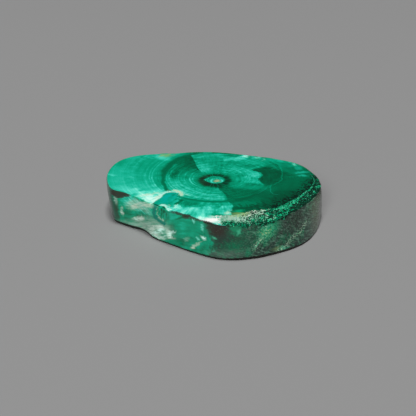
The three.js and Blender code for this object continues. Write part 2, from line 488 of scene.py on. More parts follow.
class Finish:
    """A material, and the methods that build its node tree."""

    def __init__(self, name):
        self.material = bpy.data.materials.new(name)
        self.material.use_nodes = True
        self.tree = self.material.node_tree
        self.shader = self.tree.nodes["Principled BSDF"]

    def fill(self, socket, value):
        """Links a value to a socket, or sets the socket to a plain one."""
        if isinstance(value, Value):
            self.tree.links.new(value.socket, socket)
        else:
            socket.default_value = value

    def node(self, kind, settings=None, inputs=None, output=0):
        """Adds a node, with its settings first and then its sockets, and gives one of its outputs."""
        made = self.tree.nodes.new(kind)
        for name, value in (settings or {}).items():
            if name == "stops":
                ramp = made.color_ramp
                while len(ramp.elements) < len(value):
                    ramp.elements.new(1)
                for element, (place, colour) in zip(ramp.elements, value):
                    element.position = place
                    element.color = colour
            elif name == "points":
                points = made.mapping.curves[0].points
                while len(points) < len(value):
                    points.new(1, 1)
                for point, place in zip(points, value):
                    point.location = place
                made.mapping.update()
            else:
                setattr(made, name, value)
        for name, value in (inputs or {}).items():
            self.fill(made.inputs[name], value)
        return Value(self, made.outputs[output])

    def maths(self, operation, *values, clamp=False):
        """A Math node."""
        settings = {"operation": operation, "use_clamp": clamp}
        return self.node("ShaderNodeMath", settings, dict(enumerate(values)))

    def least(self, *values):
        """The least of some values."""
        return functools.reduce(lambda a, b: self.maths("MINIMUM", a, b), values)

    def greatest(self, *values):
        """The greatest of some values."""
        return functools.reduce(lambda a, b: self.maths("MAXIMUM", a, b), values)

    def smooth(self, value, low, high):
        """0 at low, 1 at high, and smooth between. High may be under low."""
        settings = {"interpolation_type": "SMOOTHSTEP", "clamp": True}
        inputs = {"Value": value, "From Min": min(low, high), "From Max": max(low, high)}
        if high < low:
            inputs.update({"To Min": 1.0, "To Max": 0.0})
        return self.node("ShaderNodeMapRange", settings, inputs)

    def place(self, x, y, z=0.0):
        """A point or direction made of three values."""
        return self.node("ShaderNodeCombineXYZ", None, {0: x, 1: y, 2: z})

    def vector(self, operation, a, b=None, scale=None):
        """A Vector Math node."""
        inputs = {0: a}
        if b is not None:
            inputs[1] = b
        if scale is not None:
            inputs["Scale"] = scale
        output = 1 if operation in ("LENGTH", "DISTANCE", "DOT_PRODUCT") else 0
        return self.node("ShaderNodeVectorMath", {"operation": operation}, inputs, output)

    def noise(self, place, scale=1.0, detail=2.0, roughness=0.5):
        """Soft noise round zero, mostly from -0.5 to 0.5."""
        inputs = {"Vector": place, "Scale": scale, "Detail": detail, "Roughness": roughness}
        return self.node("ShaderNodeTexNoise", {"noise_dimensions": "3D", "normalize": False}, inputs)

    def cells(self, place, scale):
        """Three random values for each of the cells that a surface is parted into."""
        inputs = {"Vector": place, "Scale": scale}
        return self.separate(self.node("ShaderNodeTexVoronoi", None, inputs, "Color"))

    def separate(self, vector):
        """The three parts of a vector."""
        made = self.node("ShaderNodeSeparateXYZ", None, {0: vector})
        return [Value(self, socket) for socket in made.socket.node.outputs]

    def curve(self, value, stops):
        """A smooth curve through stops, each a pair of numbers."""
        inputs, outputs = zip(*stops)
        low, high = min(inputs), max(inputs)
        floor, top = min(outputs), max(outputs)
        points = [((a - low) / (high - low), (b - floor) / (top - floor)) for a, b in stops]
        share = self.node("ShaderNodeMapRange", None, {"Value": value, "From Min": low, "From Max": high})
        made = self.node("ShaderNodeFloatCurve", {"points": sorted(points)}, {"Value": share})
        return self.maths("MULTIPLY_ADD", made, top - floor, floor)

    def bump(self, height, distance, strength):
        """Relief that the mesh is too coarse for. Height is in shares of distance."""
        inputs = {"Height": height, "Distance": distance, "Strength": strength}
        return self.node("ShaderNodeBump", None, inputs)

    def shade(self, **inputs):
        """Sets or links the shader's sockets."""
        for name, value in inputs.items():
            self.fill(self.shader.inputs[name.replace("_", " ")], value)


class Stone(Finish):
    """A finish of this stone: where a point lies in its growth, and its colours."""

    RING_LEAN_X = 0.13  # how far each ring's middle moves from the eye, in shares of its radius
    RING_LEAN_Y = 0.175
    # The greens by tone, which is about the green that a screen shows, from 0 to 1
    GREENS = (
        (0.12, "black_green"), (0.32, "deep_green"), (0.43, "green"), (0.62, "sea_green"),
        (0.715, "teal"), (0.83, "aqua"), (0.915, "mint"), (1.00, "milk"),
    )

    def __init__(self, name, colours):
        super().__init__(name)
        self.colours = colours
        place = self.node("ShaderNodeTexCoord", None, None, "Object")
        millimetres = self.vector("SCALE", place, scale=1 / MM)
        self.at = self.vector("SUBTRACT", millimetres, (EYE_X, EYE_Y, 0))
        self.x, self.y, self.z = self.separate(self.at)

    def wobble(self, place, size, amount, seed=0.0):
        """A place moved about a little, so that lines through it look grown."""
        inputs = {"Vector": self.vector("ADD", place, (seed, seed, seed)), "Scale": 1 / size, "Detail": 2.0}
        shift = self.node("ShaderNodeTexNoise", None, inputs, "Color")
        shift = self.vector("SUBTRACT", shift, (0.5, 0.5, 0.5))
        return self.vector("ADD", place, self.vector("SCALE", shift, scale=amount))

    def ring_radius(self, x, y):
        """Which growth ring a point lies on: rings nest round the eye and lean away from it."""
        lean = x * self.RING_LEAN_X + y * self.RING_LEAN_Y
        rest = 1 - self.RING_LEAN_X**2 - self.RING_LEAN_Y**2
        return (self.maths("SQRT", lean * lean + (x * x + y * y) * rest) - lean) / rest

    def patch(self, place, middle, radii, turn=0.0, soft=0.5):
        """1 inside an ellipse and 0 outside, with a soft rim."""
        inputs = {
            "Vector": place,
            "Location": (*middle, 0),
            "Rotation": (0, 0, math.radians(turn)),
            "Scale": (*radii, 1),
        }
        inside = self.node("ShaderNodeMapping", {"vector_type": "TEXTURE"}, inputs)
        return self.smooth(self.vector("LENGTH", inside), 1 + soft, 1 - soft)

    def paint(self, base, tone, mask):
        """Lays a tone over another where the mask is."""
        return self.node("ShaderNodeMix", {"data_type": "FLOAT"}, {0: mask, 2: base, 3: tone})

    def patches(self, place, tone, table):
        """Lays soft patches over a tone, one after another."""
        for level, mid_x, mid_y, half_x, half_y, turn, soft in table:
            tone = self.paint(tone, level, self.patch(place, (mid_x, mid_y), (half_x, half_y), turn, soft))
        return tone

    def colour(self, choice):
        """A colour worked out so far, or one of the stone's by its name."""
        return (*getattr(self.colours, choice), 1) if isinstance(choice, str) else choice

    def mix(self, factor, a, b):
        """A mix of two colours."""
        inputs = {0: factor, 6: self.colour(a), 7: self.colour(b)}
        return self.node("ShaderNodeMix", {"data_type": "RGBA", "clamp_factor": True}, inputs, 2)

    def spots(self, place, colour, table, strength=None, uneven=None):
        """Lays soft spots over a colour, one after another. Strength varies all or the uneven colours."""
        for name, amount, mid_x, mid_y, half_x, half_y, turn, soft in table:
            mask = self.patch(place, (mid_x, mid_y), (half_x, half_y), turn, soft)
            if strength is not None and (uneven is None or name in uneven):
                mask = mask * strength
            colour = self.mix(mask * amount, colour, name)
        return colour

    def mark(self, name):
        """One of the marks that the mesh carries."""
        return self.node("ShaderNodeAttribute", {"attribute_name": name}, None, 2)

    def wrap(self):
        """Distance along the wall from the back, and up the wrap from the foot, in millimetres."""
        along, up, _ = self.separate(self.node("ShaderNodeUVMap", {"uv_map": "wrap"}))
        return along * WRAP_SCALE, up * WRAP_SCALE

    def stroke(self, place, points):
        """Distance to a line through points."""
        distances = []
        for start, end in zip(points, points[1:]):
            way = Vector((end[0] - start[0], end[1] - start[1], 0))
            offset = self.vector("SUBTRACT", place, (start[0], start[1], 0))
            share = self.vector("DOT_PRODUCT", offset, tuple(way / way.length_squared))
            share = self.maths("ADD", share, 0.0, clamp=True)
            foot = self.vector("SCALE", tuple(way), scale=share)
            distances.append(self.vector("DISTANCE", offset, foot))
        return self.least(*distances)

    def green_by_tone(self, tone):
        """The stone's green of a tone."""
        stops = [(place, self.colour(name)) for place, name in self.GREENS]
        return self.node("ShaderNodeValToRGB", {"stops": stops}, {0: tone})


# Where the growth changes on the polished face, in millimetres from the eye. The strong ring: its distance
# by direction in degrees
STRONG_RING = (
    (-180, 14.2), (-155, 14.4), (-130, 14.9), (-111, 14.1), (-90, 14.0), (-69, 14.3), (-40, 14.6),
    (-18, 15.3), (-8, 16.8), (3, 18.3), (15, 19.4), (27, 20.7), (60, 21.6), (90, 21.0), (114, 19.8),
    (123, 18.6), (135, 17.2), (148, 15.7), (165, 14.7), (180, 14.2),
)
# Lines that part the sectors, as y and x
NORTH_LINE = ((5.5, -3.2), (6.7, -3.9), (8, -4.4), (12, -5.3), (16, -6.2), (21, -7.6))
SOUTH_LINE = ((-21, 4.1), (-18, 4.5), (-15, 4.2), (-13, 3.3), (-8.5, 2.1), (-5.5, 1.0), (-3, 0))
TONGUE_EDGE = (
    (-5, 15.2), (-3, 13.6), (-1, 12.5), (1, 11.9), (2, 12.6), (3.4, 13.2), (5.2, 12.9), (6.2, 11.7),
    (7.2, 10.6), (8.6, 10.8), (9.8, 13.0), (12, 14.6),
)
# The fold between the lobes: its left side as y and x, and its top and the strong ring's foot as x and y
FOLD_LEFT = (
    (-18, -15.2), (-15.5, -16.1), (-13, -15.3), (-11, -14.2), (-9.5, -13.8), (-8.6, -13.1), (-7.6, -12.0),
)
FRONT_LINE = (
    (-14.2, -9.4), (-12.8, -8.3), (-11.6, -7.9), (-10.4, -8.1), (-9.6, -9.3), (-8.8, -11.0), (-7.0, -12.3),
    (-4.0, -13.4), (0.0, -14.0), (3.0, -13.7), (5.0, -13.2),
)
# The fold's rim, from the front edge round its top to the cream stain, as x and y
FOLD_RIM = (
    (-15.4, -17.4), (-16.15, -15.3), (-15.4, -13.0), (-14.3, -11.0), (-13.85, -9.5), (-13.1, -8.5),
    (-11.8, -7.9), (-10.4, -8.0),
)
# The top of the pale front band, as x and y
PALE_LINE = (
    (-16, -16.8), (-14.4, -16.2), (-13, -15.6), (-11.2, -17.0), (-9.6, -16.0), (-8.2, -17.1), (-3.5, -17.2),
    (-1.5, -16.9), (0, -18), (2, -16.6), (5, -16),
)

# Soft patches of tone: tone, x, y, half width, half height, turn, softness. Growth outside the strong ring:
OUTER_PATCHES = (
    (0.71, -26.5, 2.0, 3.2, 8.0, 0, 0.8),
    (0.61, -18.4, 11.5, 4.0, 5.5, -10, 0.8),
    (0.61, -27.0, 12.5, 1.6, 3.0, -25, 0.8),
    (0.69, -20.5, 17.2, 4.5, 1.0, 8, 0.6),
    (0.79, -15.0, 16.3, 2.4, 1.5, -32, 0.7),
    (0.80, -28.6, 3.6, 1.0, 0.8, 0, 0.7),
    (0.73, -21.0, -4.0, 8.0, 2.8, -20, 0.8),
    (0.84, -21.6, -7.8, 5.4, 1.8, -30, 0.7),
    (0.98, -17.5, -11.6, 3.0, 3.8, 25, 0.6),
    (0.86, -14.6, -7.6, 2.6, 2.0, 20, 0.7),
    (0.44, -3.0, 20.0, 4.8, 1.2, 0, 0.5),
    (0.60, 12.5, 15.0, 12.0, 2.6, -25, 0.5),
    (0.47, 14.6, 12.4, 0.6, 2.4, 14, 0.7),
    (0.68, 16.2, 13.8, 1.8, 0.8, -30, 0.7),
    (0.50, 19.5, 12.4, 2.6, 0.7, -30, 0.8),
    (0.46, 20.6, 8.0, 3.4, 2.6, -40, 0.8),
)
# Inside it, on the left:
INNER_PATCHES = (
    (0.72, -6.0, -7.0, 5.0, 3.0, -22, 0.7),
    (0.68, -1.0, -10.8, 6.0, 2.4, -4, 0.6),
    (0.58, -3.0, -4.4, 4.0, 2.2, -30, 0.7),
    (0.70, -10.0, -3.0, 2.6, 3.0, 15, 0.7),
    (0.47, -9.6, 6.4, 3.6, 3.4, -20, 0.7),
    (0.50, -5.4, 5.6, 2.4, 2.0, 0, 0.7),
    (0.40, -11.0, 4.2, 0.9, 2.6, -8, 0.7),
    (0.57, -8.6, 3.6, 1.6, 1.4, 0, 0.7),
)
# Its bright sector in the north and the tongue east of the eye:
NORTH_PATCHES = (
    (0.65, 0.5, 17.6, 5.4, 1.4, 0, 0.6),
    (0.61, 1.5, 13.2, 5.0, 1.8, 0, 0.7),
    (0.73, -3.0, 9.0, 2.0, 3.0, 20, 0.6),
    (0.66, 10.5, 12.8, 3.2, 1.5, -10, 0.7),
    (0.78, 6.8, 15.7, 2.4, 1.3, 10, 0.6),
    (0.90, 8.2, 17.0, 0.9, 1.3, -10, 0.7),
    (0.50, 5.2, 17.9, 1.6, 0.8, -20, 0.7),
    (0.74, 3.4, 14.6, 0.8, 0.9, 0, 0.7),
    (0.53, 9.2, 10.4, 1.8, 1.0, -30, 0.7),
    (0.44, 2.5, 19.9, 3.2, 0.7, -6, 0.5),
    (0.72, 8.0, 6.6, 4.4, 2.0, -15, 0.7),
    (0.77, 11.2, 4.0, 2.0, 1.8, 0, 0.6),
    (0.56, 4.6, 2.0, 1.6, 3.0, 0, 0.7),
    (0.66, 8.5, 0.8, 4.0, 1.4, 0, 0.7),
    (0.60, 8.5, -2.6, 5.5, 1.3, -8, 0.8),
)
# Dark growth east of the tongue and south-east of the eye:
EAST_PATCHES = (
    (0.33, 15.0, 4.0, 3.6, 7.0, 5, 0.4),
    (0.45, 21.5, 7.5, 2.6, 5.5, 20, 0.6),
    (0.50, 15.0, 10.4, 3.2, 1.4, -18, 0.6),
    (0.54, 19.5, 12.2, 4.0, 1.5, -28, 0.7),
    (0.30, 17.5, -11.5, 3.0, 6.0, -42, 0.8),
    (0.29, 11.0, -17.0, 5.0, 1.4, 12, 0.7),
    (0.48, 7.0, -14.6, 3.8, 1.8, 10, 0.8),
    (0.43, 8.5, -11.2, 3.6, 1.6, -20, 0.8),
    (0.43, 5.0, -9.0, 3.6, 2.4, 20, 0.8),
    (0.56, 8.0, -3.9, 5.5, 1.8, -10, 0.8),
)
# The teal band in front of the strong ring, and the pale band along the edge:
FRONT_PATCHES = (
    (0.50, -6.8, -14.7, 2.4, 1.7, 0, 0.8),
    (0.49, -8.8, -12.6, 1.3, 2.4, 12, 0.8),
    (0.66, -10.6, -14.0, 0.6, 1.8, 4, 0.8),
    (0.69, -1.4, -15.4, 0.9, 1.4, 0, 0.8),
    (0.63, 1.6, -15.4, 2.4, 1.2, 0, 0.7),
)
PALE_PATCHES = (
    (0.76, -13.4, -16.6, 1.6, 1.4, 0, 0.7),
    (0.87, -8.4, -18.6, 2.0, 1.8, -10, 0.8),
    (0.92, -3.7, -22.8, 1.2, 2.8, -10, 0.8),
    (0.77, -1.9, -19.6, 0.9, 3.4, -3, 0.8),
    (0.67, 0.2, -19.4, 1.0, 3.8, -3, 0.8),
    (0.78, 2.4, -18.6, 1.2, 3.2, 5, 0.9),
    (0.92, 3.2, -20.6, 0.5, 1.4, 0, 0.8),
)
# The dark gap across the pale band, above the glossy facet
PALE_GAP = ((-0.4, -21.9), (1.4, -22.2), (3.2, -22.4))
# Where the fold's curl cuts into the polish, as x and y
CURL_LINE = (
    (-17, -14.4), (-16, -14.8), (-15.2, -15.7), (-14.3, -16.8), (-13.2, -17.0), (-12.6, -18.6), (-12, -20),
)
# Light rings on the left: distance on the left side, half width, how light
LIGHT_RINGS = (
    (5.9, 0.20, 0.12), (6.7, 0.24, 0.11), (8.2, 0.26, 0.07), (9.9, 0.26, 0.08), (12.3, 0.20, 0.08),
    (13.1, 0.30, 0.14), (15.3, 0.20, 0.08), (15.9, 0.28, 0.09), (17.0, 0.30, 0.11), (17.7, 0.20, 0.07),
    (18.9, 0.4, 0.06), (22.6, 0.8, 0.05),
)
# How much longer a ring's radius is than its distance on the left side
LEFT_RING = 1.17
# Stains and cracks. The cream stain's line, the white rim's, and the pale cracks':
STAIN_LINE = ((-10.6, -6.8), (-9.6, -7.3), (-9.1, -8.3), (-8.9, -9.6))
WHITE_RIM = ((-14.2, -16.2), (-13.0, -15.9), (-12.4, -16.8), (-12.1, -18.0), (-11.8, -19.4))
CRACKS = (
    ((11.4, -8.6), (13.4, -6.2), (14.7, -3.6)),
    ((14.9, -4.0), (15.0, -7.8), (15.6, -9.2), (17.0, -9.6)),
)
# Bright spots: colour, amount, x, y, half width, half height, turn, softness
SPOTS = (
    ("milk", 0.8, -10.1, -17.0, 0.5, 0.9, 0, 0.6),
    ("milk", 0.45, 8.7, 17.2, 0.8, 0.7, 0, 0.7),
    ("mint", 0.65, 22.6, 11.4, 0.35, 0.9, 20, 0.7),
    ("aqua", 0.5, 21.4, 13.2, 0.4, 0.6, 20, 0.7),
    ("mint", 0.6, 12.6, 16.7, 0.6, 0.8, 0, 0.7),
    ("mint", 0.45, 14.0, 14.8, 0.4, 0.7, 0, 0.7),
    ("aqua", 0.6, 11.0, 18.2, 0.7, 0.6, 0, 0.7),
    ("teal", 0.8, 24.3, 3.3, 1.5, 0.7, 8, 0.7),
    ("teal", 0.8, 24.2, 5.6, 1.5, 0.6, 5, 0.7),
    ("teal", 0.55, 23.4, 8.6, 1.0, 1.2, 10, 0.7),
    ("straw", 0.6, -13.9, 18.4, 1.6, 1.1, 5, 0.8),
    ("rust", 0.35, -17.4, -9.2, 2.4, 0.6, 20, 0.8),
    ("rust", 0.35, -15.0, -11.0, 0.5, 1.6, -25, 0.8),
    ("tan", 0.45, 3.2, -20.6, 0.4, 0.9, 0, 0.7),
    ("deep_green", 0.8, 6.4, -19.0, 2.6, 1.6, 8, 0.6),
    ("emerald", 0.9, 6.0, -19.9, 1.6, 1.0, 8, 0.5),
    ("straw", 0.55, 6.0, -21.4, 2.0, 0.5, 8, 0.8),
    # The last spot is a painted highlight: the white glare of a light in the sloping facet at the front edge
    ("quartz", 0.95, -1.0, -24.8, 2.2, 1.4, 5, 0.7),
)


class PolishedFace(Stone):
    """The polished face: growth rings round the eye, cut into light and dark sectors of fibres."""

    def __init__(self, name, colours):
        super().__init__(name, colours)
        self.flat = self.place(self.x, self.y)
        self.warped = self.wobble(self.flat, 3.0, 0.7)
        self.warp_x, self.warp_y, _ = self.separate(self.warped)
        self.distance = self.vector("LENGTH", self.flat)
        self.way = self.vector("NORMALIZE", self.flat)
        self.way_x, self.way_y, _ = self.separate(self.way)
        self.angle = self.maths("ARCTAN2", self.y, self.x) * (180 / math.pi)
        self.ring = self.ring_radius(self.warp_x, self.warp_y)
        # Fine rings follow the growth, fibres stand across it, and flakes do both
        self.broad = self.growth(1.2, 0.45, 0, 2.0)
        self.bands = self.growth(1.6, 1.5)
        self.lines = self.growth(1.3, 3.8, 5, 2.0)
        self.fibres = self.growth(17, 0.35)
        self.flakes = self.growth(6, 0.95, 9, 4.0, 0.7)
        self.clouds = self.noise(self.flat, 0.35, 4.0, 0.65)
        self.grain = self.noise(self.flat, 2.4, 3.0, 0.7)
        # Places for the patches' ragged outlines. Each is moved once more than the last, so no two zones
        # fray alike.
        self.frayed = self.vector("ADD", self.warped, self.place(self.flakes * 1.1, self.flakes * 0.8))
        self.ragged = self.wobble(self.frayed, 1.2, 0.5, 3)
        self.spotted = self.wobble(self.ragged, 0.8, 0.3, 7)
        across = self.vector("SCALE", self.way, scale=self.fibres * 2.4)
        self.combed = self.vector("ADD", self.warped, across)
        self.streaked = self.wobble(self.combed, 1.6, 0.4, 5)
        self.brushed = self.wobble(self.streaked, 1.0, 0.3, 9)
        self.smeared = self.wobble(self.warped, 2.0, 0.8, 11)
        # Masks of the zones that the growth lines part
        x, y = self.warp_x, self.warp_y
        self.beyond = self.distance + self.clouds * 0.4 - self.curve(self.angle, STRONG_RING)
        self.outside = self.smooth(self.beyond, -0.25, 0.25)
        self.north_side = x - self.curve(y, NORTH_LINE)
        self.south_side = self.smooth(x - self.curve(y, SOUTH_LINE) + self.fibres * 0.5, -0.2, 0.2)
        self.front_line = self.curve(x, FRONT_LINE)
        past_fold = self.smooth(x - self.curve(y, FOLD_LEFT), -0.05, 0.15)
        below = self.smooth(y - self.front_line, 0.1, -0.15)
        self.front = past_fold * below * (1 - self.south_side)
        pale_line = self.curve(x, PALE_LINE)
        self.pale = self.smooth(y - pale_line + self.fibres * 0.8, 0.2, -0.5) * self.front

    def growth(self, spread, rate, shift=0.0, detail=3.0, roughness=0.6):
        """Noise drawn out along the rings, or across them where its spread is much more than its rate."""
        place = self.vector("SCALE", self.way, scale=spread)
        place = self.vector("ADD", place, self.place(0.0, 0.0, self.ring * rate + shift))
        return self.noise(place, 1.0, detail, roughness)

    def sector_tone(self):
        """Tone of the sectors inside the strong ring and of the growth outside it."""
        x, y = self.warp_x, self.warp_y
        tone = self.patches(self.frayed, 0.608 + self.broad * 0.06, INNER_PATCHES)
        wedge = self.smooth(self.north_side, 0.18, -0.18) * self.smooth(y + self.clouds * 3, 6.0, 9.0)
        wedge = wedge * self.greatest(self.smooth(self.ring, 16.2, 14.8), self.smooth(y, 9.5, 13.0))
        depth = self.smooth(self.north_side + self.fibres, -5.0, -0.5)
        tone = self.paint(tone, 0.44 - depth * 0.09 + self.clouds * 0.05, wedge)

        east = self.patches(self.combed, 0.39, EAST_PATCHES)
        sunrise = self.smooth(x, 2.0, 4.0) * self.smooth(y, 15, 12)
        eastern = self.greatest(self.south_side * self.smooth(y, -1.0, -2.5), sunrise)
        tone = self.paint(tone, east, eastern)
        north = self.patches(self.ragged, 0.60 + self.flakes * 0.12, NORTH_PATCHES)
        right = self.smooth(self.north_side, -0.18, 0.18) * self.smooth(y, 4.6, 6.2)
        tongue = self.smooth(x - self.curve(y, TONGUE_EDGE) + self.grain * 0.4, 0.2, -0.2)
        tongue = tongue * self.smooth(x, -1.0, 3.0)
        tongue = tongue * self.smooth(y + self.flakes * 1.6 - x * 0.06, -4.4, -2.4)
        bright = self.greatest(
            right * self.smooth(y - x * 0.62, 0.4, 2.0) * self.smooth(x, 14.2, 12.4),
            tongue,
            right * self.smooth(y + self.clouds * 2, 9.0, 11.0) * self.smooth(x, 17.0, 13.5),
        )
        tone = self.paint(tone, north, bright)
        outer = self.patches(self.streaked, 0.655 + self.broad * 0.05, OUTER_PATCHES)
        outer_side = self.smooth(self.way_x * 0.8 - self.way_y * 1.1, 0.5, 0.1)
        return self.paint(tone, outer, self.outside * self.greatest(outer_side, self.smooth(x, -4.0, -6.0)))

    def front_tone(self, tone):
        """Lays on the teal band and the pale fibrous band between the strong ring and the edge."""
        band = self.patches(self.brushed, 0.635, FRONT_PATCHES) + self.clouds * 0.06 + self.fibres * 0.10
        tone = self.paint(tone, band, self.front)
        pale = self.patches(self.smeared, 0.79, PALE_PATCHES) + self.growth(30, 0.16, 7) * 0.09
        pale = pale + self.clouds * 0.08
        tone = self.paint(tone, pale, self.pale)
        gap = self.smooth(self.stroke(self.warped, PALE_GAP) + self.fibres * 0.4, 0.75, 0.25)
        return self.paint(tone, 0.53, gap * 0.85)

    def texture_tone(self, tone):
        """Adds fine rings and fibres, strongest inside the strong ring and weak in the small lobe."""
        inside = 1 - self.outside * 0.6
        strength = (0.5 + 0.5 * self.smooth(tone, 0.35, 0.62)) * inside
        strength = strength * self.smooth(self.distance, 4.4, 6.5)
        rings = self.bands * 0.08 + self.lines * 0.05
        crosses = self.fibres * 0.06 + self.grain * 0.05 + self.clouds * 0.05
        tone = tone + (rings + crosses) * strength
        left = self.smooth(self.way_x + self.way_y * 0.6, 0.0, -0.5)
        arcs = [
            self.smooth(abs(self.ring - place * LEFT_RING), width * 1.3, 0.05) * gain
            for place, width, gain in LIGHT_RINGS
        ]
        broken = 0.75 + self.clouds * 0.8
        return tone + self.greatest(*arcs) * left * broken * (1 - self.front)

    def strong_ring_tone(self, tone):
        """Lays on the strong ring: broad and dark at the upper left, thin below, light on the right."""
        upper_left = self.smooth(self.angle, 100, 140) * self.smooth(self.angle, 178, 152)
        offset = abs(self.beyond + 0.1 - upper_left * 0.2)
        width = 0.45 + upper_left * 0.45
        dark = self.smooth(offset / width, 1.7, 0.35)
        turns = self.greatest(self.smooth(self.angle, 98, 112), self.smooth(self.angle, -24, -45))
        west = self.smooth(self.warp_x, -8.5, -10.0) * self.smooth(self.warp_y, -6.6, -7.8)
        dark = dark * turns * (1 - self.front) * (1 - west)
        broad = self.smooth(abs(self.beyond - 0.6), 2.2, 0.2) * turns * (1 - self.front)
        tone = tone * (1 - broad * (0.09 + upper_left * 0.10))
        south_east = self.smooth(self.angle, -75, -60) * self.smooth(self.angle, -20, -30)
        tone = self.paint(tone, 0.41 - upper_left * 0.03 - south_east * 0.06, dark * 0.9)
        foot = self.smooth(abs(self.warp_y - self.front_line + 0.1), 0.75, 0.25)
        foot = foot * self.smooth(self.warp_x, -9.6, -7.4) * (1 - self.south_side)
        tone = self.paint(tone, 0.46, foot * 0.9)
        light = self.smooth(abs(self.beyond), 0.30, 0.05)
        light = light * self.smooth(self.angle, -24, -12) * self.smooth(self.angle, 34, 22)
        return tone + light * 0.13

    def eye_colour(self, tone):
        """The eye: a dark ticked ring, a pointed lens, a bright ring in it and an earthy core."""
        x, y = self.x, self.y
        lens_x = (x + 0.10) / 2.95
        lens_y = (y - 0.45) / (2.6 - 1.3 * self.smooth(x, -0.6, -3.2))
        lens = self.smooth(self.maths("SQRT", lens_x * lens_x + lens_y * lens_y), 1.12, 0.84)
        ticks = self.growth(8, 0, 3, 1.0)
        rays = self.growth(11, 0, 6, 2.0)
        dark_ring = self.smooth(self.distance + ticks * 0.5, 4.9, 3.7)
        tone = self.paint(tone, tone - 0.13, self.smooth(self.distance + ticks, 6.0, 4.4))
        tone = self.paint(tone, 0.185 + 0.22 * self.smooth(rays, 0.05, 0.45), dark_ring)
        core = self.maths("SQRT", (x - 0.65) * (x - 0.65) + (y + 0.35) * (y + 0.35) * 1.1)
        within = 0.58 + self.grain * 0.25 + self.smooth(x, -1.4, -2.6) * 0.08
        tone = self.paint(tone, within, lens)
        halo = self.smooth(abs(core - 1.6 + self.smooth(x, 0.8, 1.8) * 0.2), 0.55, 0.05)
        halo = halo * (0.45 + 0.55 * self.smooth(abs(x - 0.6), 0.7, 1.5))
        tone = self.paint(tone, 0.84, halo * lens)
        colour = self.green_by_tone(tone)
        brown = dark_ring * (1 - lens) * self.smooth(x, 1.0, -3.5)
        colour = self.mix(brown * 0.25, colour, "umber")
        return self.mix(self.smooth(core + self.grain * 0.7, 1.05, 0.35) * 0.8, colour, "tan")

    def fold_colour(self, colour):
        """Colours the fold between the lobes, its pale rim and the cream stain beside it."""
        inside = self.patch(self.warped, (-12.9, -10.8), (2.2, 4.6), -14, 0.8) * self.front * (1 - self.pale)
        colour = self.mix(inside * (0.8 + self.fibres * 0.8), colour, "blue_teal")
        outer = self.stroke(self.warped, FOLD_RIM)
        rim = self.smooth(outer + self.grain * 0.6 + self.bands * 0.8, 1.5, 0.1) * (1 - self.front)
        colour = self.mix(rim * 0.75, colour, "milk")
        colour = self.mix(self.smooth(outer, 0.16, 0.04) * 0.5, colour, "green")
        stain = self.stroke(self.warped, STAIN_LINE) + self.grain * 0.5
        colour = self.mix(self.smooth(stain, 1.3, 0.3) * (1 - self.front) * 0.85, colour, "mint")
        return self.mix(self.smooth(stain + self.grain * 0.5, 0.65, 0.05) * 0.75, colour, "rust")

    def spotted_colour(self, colour):
        """Lays on the cracks, the white rim and the bright spots, the last of which is a painted glare
        highlight.
        """
        cracks = self.least(*(self.stroke(self.warped, line) for line in CRACKS))
        colour = self.mix(self.smooth(cracks, 0.18, 0.03) * 0.3, colour, "teal")
        white = self.smooth(self.stroke(self.frayed, WHITE_RIM), 0.55, 0.15)
        colour = self.mix(white * 0.85, colour, "milk")
        return self.spots(self.spotted, colour, SPOTS)

    def edge_colour(self, colour):
        """Lays on what shows along the edge: the fold's curl, a brown band, and the fibres' broken ends."""
        # The fold's curl breaks through the edge: dark bands that run on down the wall
        stripes = self.noise(self.place(self.x * 1.1, self.y * 0.1, 4.0))
        curl = self.smooth(self.warp_y - self.curve(self.warp_x, CURL_LINE), 0.15, -0.25)
        curl = curl * self.smooth(self.warp_x, -16.5, -16.0) * self.smooth(self.warp_x, -11.8, -12.3)
        band = self.smooth(abs(self.warp_x + 15.6), 0.9, 0.4)
        colour = self.mix(curl, colour, self.green_by_tone(0.50 + stripes * 0.30 - band * 0.14))
        # A brown band along the edge in front of the fold
        along, up = self.wrap()
        inset = up - THICKNESS + self.clouds * 0.4 + self.grain * 0.25
        brown_band = self.smooth(inset, 1.0, 0.55)
        brown_band = brown_band * self.smooth(along, 70.5, 72.5) * self.smooth(along, 86.5, 84.0)
        colour = self.mix(brown_band * 0.9, colour, "umber")
        # Beside the crust the ends of the fibres are broken out, and the hollows are nearly black
        past = self.mark("past_shelf")
        crust = self.mark("crust")
        bits = self.noise(self.place(self.x * 1.3 + self.y, self.y * 3.0 - self.x, 6.0))
        ends = self.growth(40, 0.9, 4) * 0.9 + bits * 0.8 + self.grain * 0.5
        hollow = self.smooth(ends + 0.56 - past * 0.36 + self.clouds * 0.3, 0.0, 0.16)
        hollow = hollow * self.smooth(crust, 0.35, 0.8) * self.smooth(self.angle, -66, -46)
        return self.mix(hollow * 0.95, colour, "black_green")

    def build(self):
        """The whole finish."""
        tone = self.front_tone(self.sector_tone())
        tone = self.texture_tone(tone)
        tone = self.strong_ring_tone(tone)
        colour = self.fold_colour(self.eye_colour(tone))
        colour = self.spotted_colour(colour)
        colour = self.edge_colour(colour)
        relief = self.grain * 0.5 + self.fibres * 0.5
        self.shade(Base_Color=colour, Roughness=0.12, IOR=1.75, Normal=self.bump(relief, 0.004 * MM, 0.6))
        return self.material


